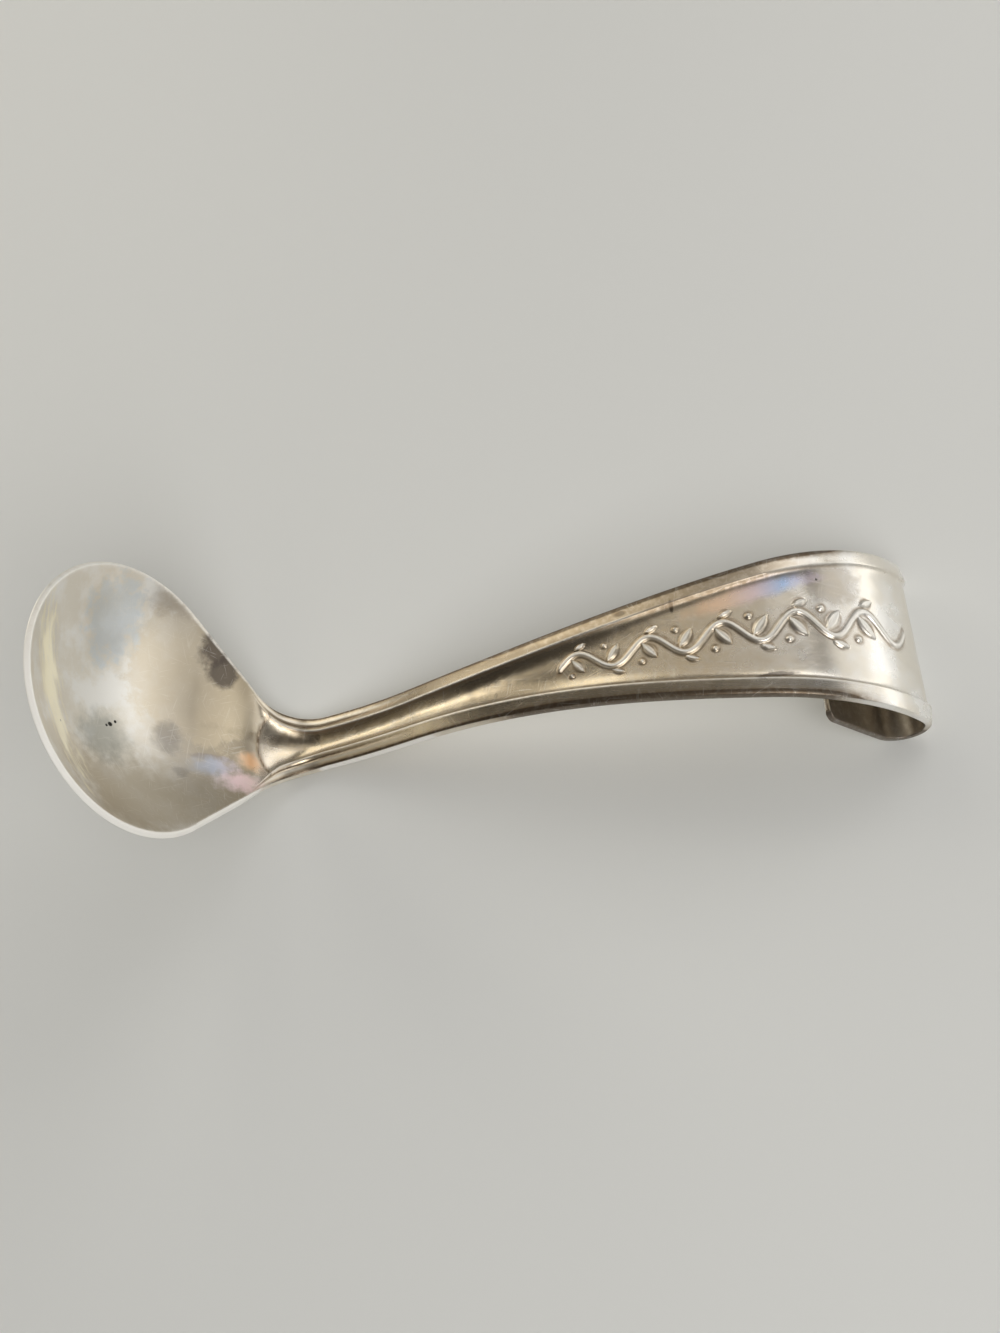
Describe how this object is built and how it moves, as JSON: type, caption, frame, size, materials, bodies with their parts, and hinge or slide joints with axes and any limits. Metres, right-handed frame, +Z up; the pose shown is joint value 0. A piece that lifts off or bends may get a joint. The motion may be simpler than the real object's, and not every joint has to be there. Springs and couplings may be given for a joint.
{
  "type": "cream spoon",
  "caption": "Small stamped metal spoon with a round dished bowl, a narrow grooved neck and a bordered strip handle that arches over into a hook.",
  "frame": {"origin": "middle of the spoon's box on the surface that it lies on", "axes": "+X along the spoon from the bowl to the hook, +Z up from the surface, Y across the handle"},
  "size_m": [0.1044, 0.0358, 0.0407],
  "materials": {
    "silver_plate": "worn silver plate, satin polished, with fine scratches and warm toning"
  },
  "bodies": {
    "root": {"bowl": "silver_plate", "throat": "silver_plate", "neck": "silver_plate", "handle": "silver_plate", "hook": "silver_plate", "hook_tip": "silver_plate"}
  },
  "joints": []
}
